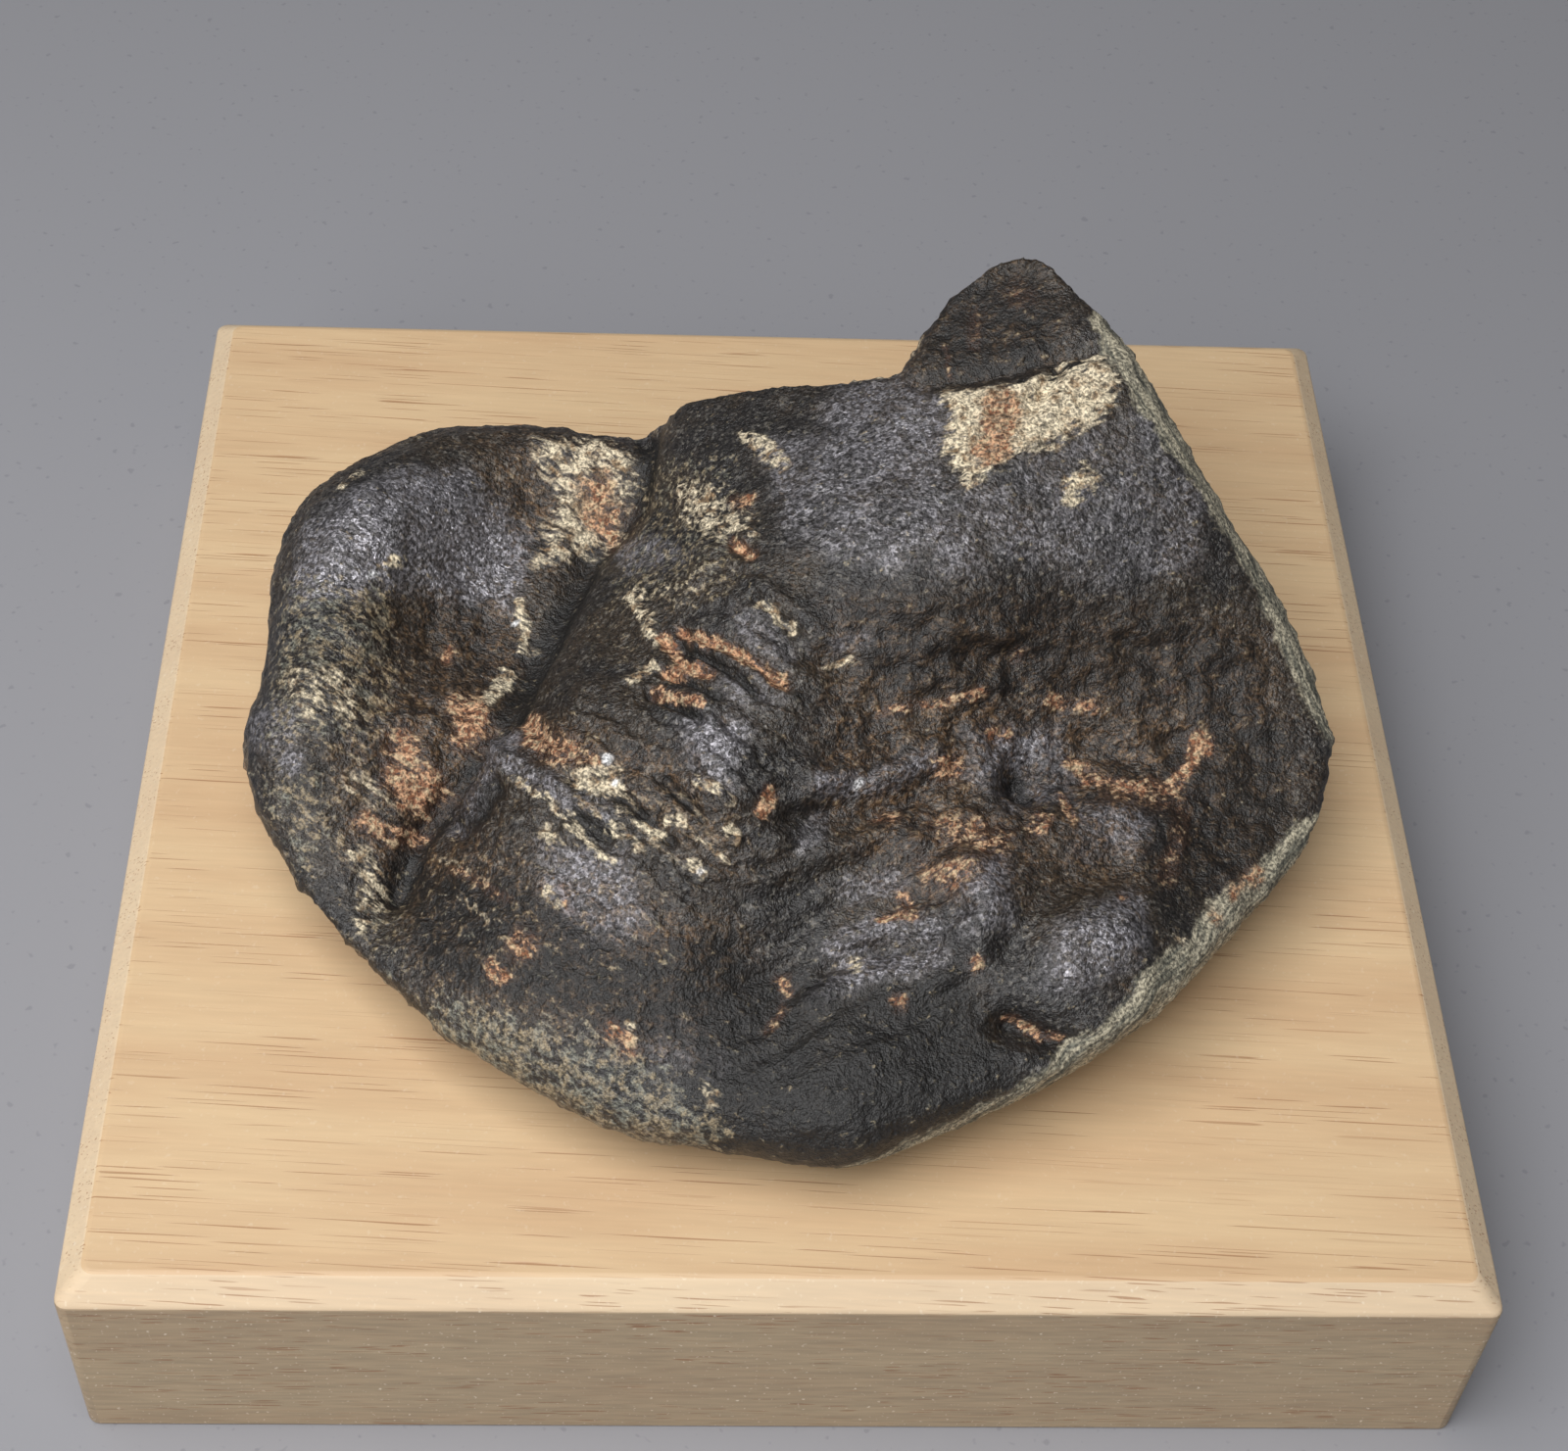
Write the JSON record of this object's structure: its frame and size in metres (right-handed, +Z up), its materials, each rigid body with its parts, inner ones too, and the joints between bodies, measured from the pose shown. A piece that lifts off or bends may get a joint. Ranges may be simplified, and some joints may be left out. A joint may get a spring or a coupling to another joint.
{
  "type": "rutile specimen",
  "caption": "Dark worn rutile twin crystal with a deep groove and a raised peak, resting on a square chamfered hardwood display block.",
  "frame": {"origin": "centre of the display block's underside", "axes": "+Z up, +X to the right of the specimen as shown, +Y to its back; the block's sides run along X and Y"},
  "size_m": [0.1016, 0.1016, 0.0512],
  "materials": {
    "rutile": "natural, worn, with a dull metallic sheen",
    "hardwood": "planed and sanded, clear satin"
  },
  "bodies": {
    "root": {"rutile_stone": "rutile", "display_block": "hardwood"}
  },
  "joints": []
}
